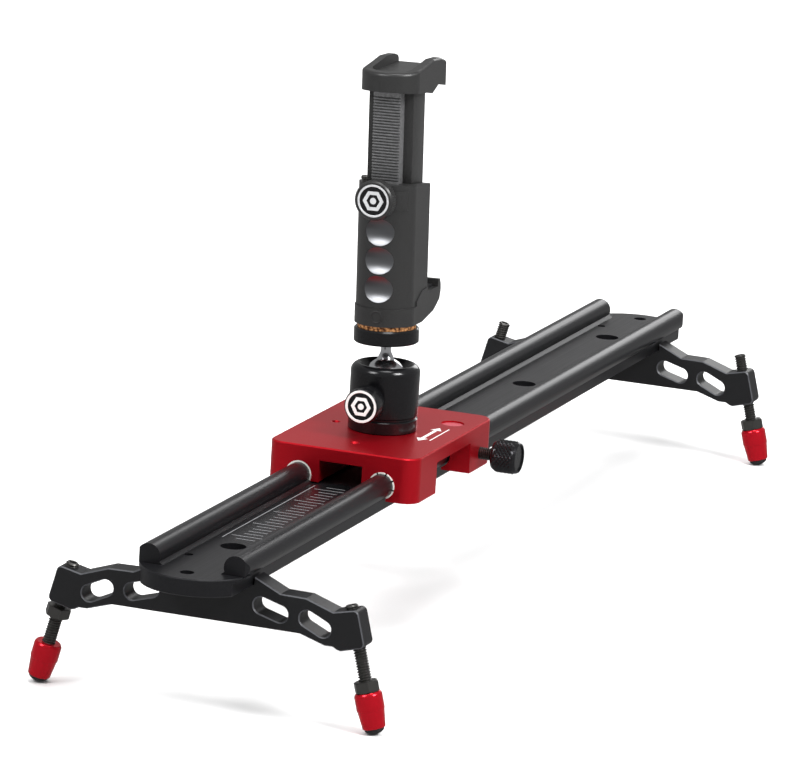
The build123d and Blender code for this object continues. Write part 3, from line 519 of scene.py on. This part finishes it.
# --- finger dimples: elliptical dishes set into the round front of the holder ---
ARC_R, ARC_CENTRE = 15.096, 1.346
DISH_V, DISH_H, DISH_DEPTH = 6.95, 6.25, 2.3
dishes = bmesh.new()
for height in (44.5, 57.8, 71.1):
    dish = turned([(k / 8, 1.0) for k in range(9)] + [(1.0, 0.0), (0.0, 0.0)], steps=48)
    for vert in dish.verts:
        v, h = vert.co.x * DISH_V, vert.co.y * DISH_H
        edge = vert.co.xy.length_squared
        front = ARC_CENTRE - sqrt(ARC_R ** 2 - v ** 2) + 0.12 + DISH_DEPTH * (1 - edge)
        vert.co = Vector((front if vert.co.z > 0.5 else -10.32, v, height + h))
    bmesh.ops.recalc_face_normals(dish, faces=dish.faces)
    gather(dishes, dish)
fit("finger_dishes", dishes, holder_seat, satin_steel, "holder", "chrome", "finger_dimples")

# --- clamp column with its serrated rib ---
COLUMN_FOOT, COLUMN_TOP = 80.0, 136.9
RIB_LOW, RIB_PITCH, RIB_TEETH = 94.0, 1.37, 29
profile = [(-2.3, COLUMN_FOOT), (-8.3, COLUMN_FOOT), (-8.3, RIB_LOW)]
for k in range(RIB_TEETH):
    base = RIB_LOW + k * RIB_PITCH
    profile += [(-7.4, base + 0.1), (-7.4, base + 0.7), (-8.3, base + 0.85), (-8.3, base + RIB_PITCH)]
profile += [(-8.3, COLUMN_TOP), (-2.3, COLUMN_TOP)]
rib = slab(profile, -6.5, 6.5)
bmesh.ops.rotate(rib, cent=(0, 0, 0), matrix=Matrix.Rotation(pi / 2, 3, "X"), verts=rib.verts)
column = block((15.2, 22.0, COLUMN_TOP - COLUMN_FOOT), (5.3, 0, (COLUMN_TOP + COLUMN_FOOT) / 2))
soften(column, 0.5)
fit("clamp_column_plain", column, holder_seat, abs_grey, "upper_jaw", "holder_plastic", "clamp_column",
    smooth=25)
# The rib takes the paler grey: a painted highlight on the column's ridges.
fit("clamp_column_rib", rib, holder_seat, abs_painted_sheen, "upper_jaw", "holder_plastic", smooth=25)

# --- holder body details: an embossed ring on the front ---
EMBOSS_HEIGHT = 31.5
ring_seat = holder_seat @ Matrix.Translation((-14.2, 0, EMBOSS_HEIGHT)) @ Matrix.Rotation(-pi / 2, 4, "Y")
emboss = turned([(2.3, -0.4), (2.9, -0.4), (2.9, 0.12), (2.75, 0.2), (2.45, 0.2), (2.3, 0.12)],
                steps=40, ring=True)
fit("body_embossed_ring", emboss, ring_seat, abs_grey, "holder", "holder_plastic")

# --- liner lips: white segments round each rail opening, with dark pieces between them as painted shade for the slots ---
RAIL_Y, RAIL_Z = 20.3, 70.7
CARRIAGE_HALF = 52.25
LIP_BORE, LIP_R, LIP_START = 5.6, 6.28, -52            # radii in mm, then the first segment in degrees
WHITE_REACH, DARK_REACH = 34.0, 8.0                    # degrees of each segment
for end_name, end in (("front", -1), ("rear", 1)):
    for side_name, side in (("left", 1), ("right", -1)):
        lip_seat = seat((HEAD_X + end * CARRIAGE_HALF, side * RAIL_Y, RAIL_Z), (end, 0, 0), (0, side, 0))
        # The dark pieces sit a little lower than the white ones and are painted shade standing in for the
        # slots' shadow.
        for colour, material, slot, reach, height in (("white", acetal, "liner", WHITE_REACH, 0.3),
                                                      ("dark", rubber, "liner", DARK_REACH, 0.2)):
            lip = bmesh.new()
            for k in range(6):
                start = LIP_START + k * (WHITE_REACH + DARK_REACH) + (0 if colour == "white" else WHITE_REACH)
                if colour == "dark" and k == 5:
                    continue
                arc = bmesh.new()
                wall = arc.faces.new([arc.verts.new((r, 0, h)) for r, h in
                                      ((LIP_BORE, -0.5), (LIP_R, -0.5), (LIP_R, height), (LIP_BORE, height))])
                bmesh.ops.rotate(arc, cent=(0, 0, 0), matrix=Matrix.Rotation(radians(start), 3, "Z"),
                                 verts=arc.verts)
                bmesh.ops.spin(arc, geom=[wall], axis=(0, 0, 1), cent=(0, 0, 0), angle=radians(reach),
                               steps=6)
                bmesh.ops.recalc_face_normals(arc, faces=arc.faces)
                gather(lip, arc)
            fit(f"{end_name}_{side_name}_{colour}_lip", lip, lip_seat, material, "carriage", slot)

# --- marks: a white double arrow with a line on the carriage, and a laser marked scale along the track ---
carriage_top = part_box("carriage")[1].z / MM
arrow = [(-87, -23), (-81.5, -20.3), (-81.5, -22.2), (-63.5, -22.2), (-63.5, -20.3), (-58, -23),
         (-63.5, -25.7), (-63.5, -23.8), (-81.5, -23.8), (-81.5, -25.7)]
marks = slab(arrow[::-1], carriage_top - 0.02, carriage_top + 0.04)
gather(marks, block((26.0, 0.6, 0.06), (-71, -27.6, carriage_top + 0.01)))
fit("carriage_arrow", marks, Matrix.Scale(MM, 4), white_enamel, "carriage", "white_paint")

TRACK_FLOOR, SCALE_START, SCALE_STEP, SCALE_LINES = 67.3, -240, 5.0, 23
marks = bmesh.new()
for k in range(SCALE_LINES):
    tall = 17.0 if k % 5 == 1 else 9.0
    gather(marks, block((0.55, tall, 0.04), (SCALE_START + SCALE_STEP * k, 0, TRACK_FLOOR + 0.01)))
for y in (-10.5, 10.5):
    gather(marks, block((112.0, 0.45, 0.04), (-185, y, TRACK_FLOOR + 0.01)))
fit("track_scale", marks, Matrix.Scale(MM, 4), engraved, "track", "black_anodised")

# --- stage: a pale floor that the four tips touch, soft light from both sides, and the camera ---
sag = atan2(FAR_LIFT * cos(FOOT_TILT), 2 * FOOT_X)
bm = bmesh.new()
bmesh.ops.create_grid(bm, x_segments=1, y_segments=1, size=15.0)
bmesh.ops.rotate(bm, cent=(0, 0, 0), matrix=Matrix.Rotation(-sag, 3, "Y"), verts=bm.verts)
bmesh.ops.translate(bm, vec=(0, 0, FOOT_X * MM * sin(sag)), verts=bm.verts)
floor_mesh = bpy.data.meshes.new("floor")
bm.to_mesh(floor_mesh)
bm.free()
# Paper sweep, matt white: takes only soft shadows.
paper, shader, place = begin("paper_sweep", "#f7f7f7", 0.0, 0.9, Specular_IOR_Level=0.1)
floor_mesh.materials.append(paper)
floor = bpy.data.objects.new("floor", floor_mesh)
bpy.context.scene.collection.objects.link(floor)
floor.visible_glossy = False

scene = bpy.context.scene
scene.view_settings.view_transform = "Standard"
world = bpy.data.worlds.new("studio")
scene.world = world
world.use_nodes = True
sky = world.node_tree.nodes["Background"]
sky.inputs["Color"].default_value = (1, 1, 1, 1)
sky.inputs["Strength"].default_value = 0.32


def softbox(name, spot, target, size, power, shiny=True):
    """A square area light at one point, facing another. One that is not shiny adds no highlights."""
    light = bpy.data.lights.new(name, "AREA")
    light.shape, light.size, light.energy = "SQUARE", size, power
    lamp = bpy.data.objects.new(name, light)
    lamp.visible_camera, lamp.visible_glossy = False, shiny
    away = (Vector(spot) - Vector(target)).to_track_quat("Z", "Y")
    lamp.matrix_world = Matrix.Translation(spot) @ away.to_matrix().to_4x4()
    scene.collection.objects.link(lamp)


MIDDLE = Vector((-0.05, 0, 0.09))
for name, azimuth, power in (("softbox_left", 150, 20), ("softbox_right", 250, 44)):
    aim = Vector((cos(radians(azimuth)) * cos(radians(42)), sin(radians(azimuth)) * cos(radians(42)),
                  sin(radians(42))))
    softbox(name, MIDDLE + 2.2 * aim, MIDDLE, 0.7, power)
softbox("end_light", (2.4, 0.1, 0.85), MIDDLE, 0.8, 7)
softbox("top_light", (-0.35, -0.15, 2.2), MIDDLE, 0.7, 12)
softbox("overhead", (0.5, 0.15, 2.5), (0.5, 0.15, 0), 3.6, 58, shiny=False)
softbox("background", (1.9, 0.7, 2.2), (1.9, 0.7, 0), 2.0, 30, shiny=False)

AZIMUTH, ELEVATION, ROLL = radians(-70.1459), radians(12.7738), radians(3.4255)
back = Vector((sin(AZIMUTH) * cos(ELEVATION), -cos(AZIMUTH) * cos(ELEVATION), sin(ELEVATION)))
right = (-back).cross(Vector((0, 0, 1))).normalized()
above = right.cross(-back)
camera_x = cos(ROLL) * right + sin(ROLL) * above
camera_y = -sin(ROLL) * right + cos(ROLL) * above
lens = bpy.data.cameras.new("camera")
lens.lens, lens.sensor_width, lens.sensor_fit = 287.97, 36.0, "HORIZONTAL"
camera = bpy.data.objects.new("camera", lens)
camera.matrix_world = Matrix.Translation((-2.782506, -0.985949, 0.757719)) @ Matrix(
    (camera_x, camera_y, back)).transposed().to_4x4()
scene.collection.objects.link(camera)
scene.camera = camera
